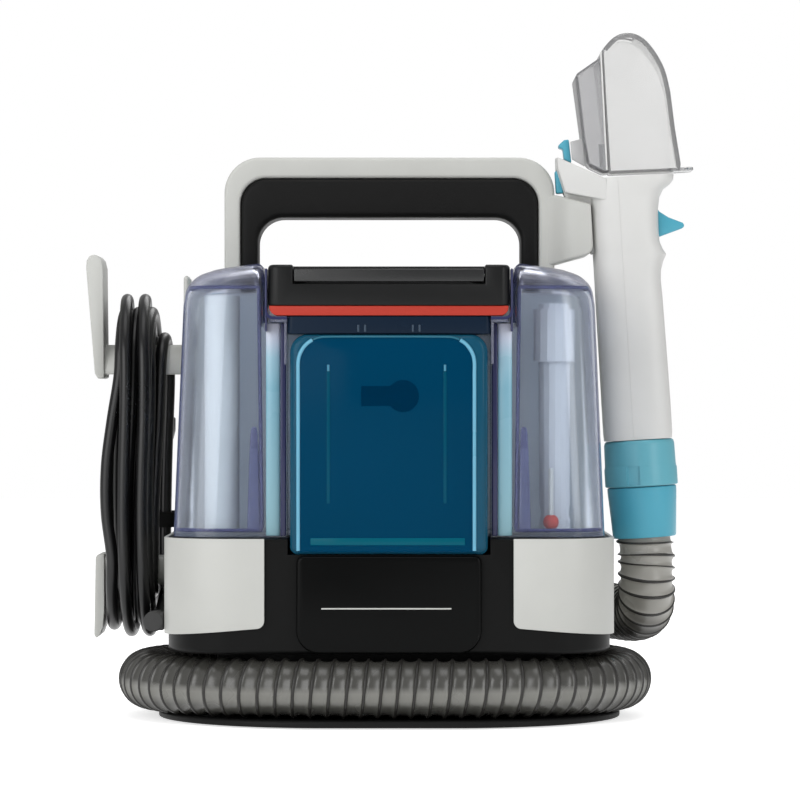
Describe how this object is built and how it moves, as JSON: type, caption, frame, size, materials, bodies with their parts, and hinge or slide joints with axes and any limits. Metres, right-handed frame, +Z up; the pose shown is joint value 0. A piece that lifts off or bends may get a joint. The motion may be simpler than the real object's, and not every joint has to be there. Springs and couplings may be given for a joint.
{
  "type": "spot extractor",
  "caption": "Portable carpet and upholstery cleaner: oval base with hose wrapped round it, clear recovery tank, blue clean tank, arched handle, docked hand tool and cord hank on hooks.",
  "frame": {"origin": "on the floor under the middle of the machine", "axes": "+X to the machine's right seen from the front (the tool side), +Y to the rear, +Z up"},
  "size_m": [0.3569, 0.2201, 0.399],
  "materials": {
    "white_plastic": "satin warm white",
    "black_plastic": "semi-gloss black",
    "soft_black": "fine matte black",
    "teal_plastic": "satin teal blue",
    "navy_plastic": "dark navy",
    "red_plastic": "red",
    "red_rubber": "soft red-orange seal",
    "rubber": "black rubber",
    "grey_rubber": "dark grey moulded strain relief",
    "steel": "plain",
    "clear_grey": "clear, faint grey-lavender tint",
    "clear_blue": "deep blue-teal transparent",
    "clear_teal": "teal transparent",
    "hose_grey": "smoky grey ribbed hose",
    "cord_black": "black cable jacket"
  },
  "bodies": {
    "chassis": {"base_plate": "soft_black", "rubber_foot_1": "rubber", "rubber_foot_2": "rubber", "rubber_foot_3": "rubber", "rubber_foot_4": "rubber", "chassis_housing": "black_plastic", "housing_deck": "black_plastic", "front_panel": "black_plastic", "left_panel": "white_plastic", "right_panel": "white_plastic", "rear_tower": "white_plastic", "rear_cover": "soft_black", "motor_shroud": "soft_black", "vacuum_motor": "steel", "pump": "soft_black", "handle_frame": "white_plastic", "handle_grip": "soft_black", "tool_dock": "white_plastic", "cord_hook_upper": "white_plastic", "cord_hook_lower": "white_plastic", "cord_gland": "grey_rubber", "cord_tie": "soft_black", "cord_lead_in": "cord_black", "cord_winding": "cord_black", "cord_tail": "cord_black", "plug_body": "cord_black", "plug_pin_left": "steel", "plug_pin_right": "steel", "hose_port": "soft_black", "suction_hose_wrap": "hose_grey", "suction_hose_riser": "hose_grey"},
    "fan": {"fan_impeller": "soft_black"},
    "power_key": {"power_button": "teal_plastic"},
    "clean_water": {"clean_tank": "clear_blue", "clean_tank_cap": "navy_plastic", "outlet_valve": "navy_plastic"},
    "recovery": {"recovery_tank": "clear_grey", "tank_rim": "navy_plastic", "lobe_trim_left": "clear_teal", "lobe_trim_right": "clear_teal", "separator_tube": "clear_grey", "float_post": "white_plastic"},
    "float": {"float_ball": "red_plastic"},
    "lid": {"tank_lid": "black_plastic", "lid_seal": "red_rubber", "lid_pin_left": "steel", "lid_pin_right": "steel"},
    "lid_bail": {"lid_handle": "black_plastic"},
    "hand_tool": {"tool_shell_left": "white_plastic", "tool_shell_right": "white_plastic", "tool_collar": "teal_plastic", "trigger_pin": "steel", "latch_clip": "teal_plastic"},
    "cuff": {"hose_cuff": "teal_plastic"},
    "trigger_lever": {"trigger": "teal_plastic"},
    "nozzle_release": {"release_button": "teal_plastic"},
    "nozzle_head": {"nozzle": "clear_grey", "spray_tip": "soft_black"}
  },
  "joints": [
    {"name": "fan_spin", "type": "hinge", "parent": "chassis", "child": "fan", "pos_m": [0.04, 0.036, 0.134], "axis": [0, 0, 1], "continuous": true},
    {"name": "power_press", "type": "slide", "parent": "chassis", "child": "power_key", "axis": [0, 0, -1], "range_m": [0, 0.0025], "stiffness_N_per_m": 600},
    {"name": "clean_tank_slide", "type": "slide", "parent": "chassis", "child": "clean_water", "axis": [0, -1, 0], "range_m": [0, 0.07]},
    {"name": "recovery_tank_lift", "type": "slide", "parent": "chassis", "child": "recovery", "axis": [0, 0, 1], "range_m": [0, 0.06]},
    {"name": "float_rise", "type": "slide", "parent": "recovery", "child": "float", "axis": [0, 0, 1], "range_m": [0, 0.02]},
    {"name": "lid_lift", "type": "slide", "parent": "recovery", "child": "lid", "axis": [0, 0, 1], "range_m": [0, 0.04]},
    {"name": "lid_handle_hinge", "type": "hinge", "parent": "lid", "child": "lid_bail", "pos_m": [0, -0.074, 0.254], "axis": [-1, 0, 0], "range_deg": [0, 90]},
    {"name": "tool_lift", "type": "slide", "parent": "chassis", "child": "hand_tool", "axis": [0, 0, 1], "range_m": [0, 0.045], "deforming": ["suction_hose_riser"]},
    {"name": "cuff_swivel", "type": "hinge", "parent": "hand_tool", "child": "cuff", "pos_m": [0.1504, 0.015, 0.1033], "axis": [-0.061, 0, 0.9981], "continuous": true},
    {"name": "trigger_squeeze", "type": "hinge", "parent": "hand_tool", "child": "trigger_lever", "pos_m": [0.1539, 0.015, 0.29507], "axis": [0, 1, 0], "range_deg": [0, 9], "stiffness_Nm_per_rad": 0.8},
    {"name": "nozzle_release_press", "type": "slide", "parent": "hand_tool", "child": "nozzle_release", "axis": [0.9981, 0, 0.061], "range_m": [0, 0.0018], "stiffness_N_per_m": 500},
    {"name": "nozzle_lift", "type": "slide", "parent": "hand_tool", "child": "nozzle_head", "axis": [-0.061, 0, 0.9981], "range_m": [0, 0.035]}
  ]
}
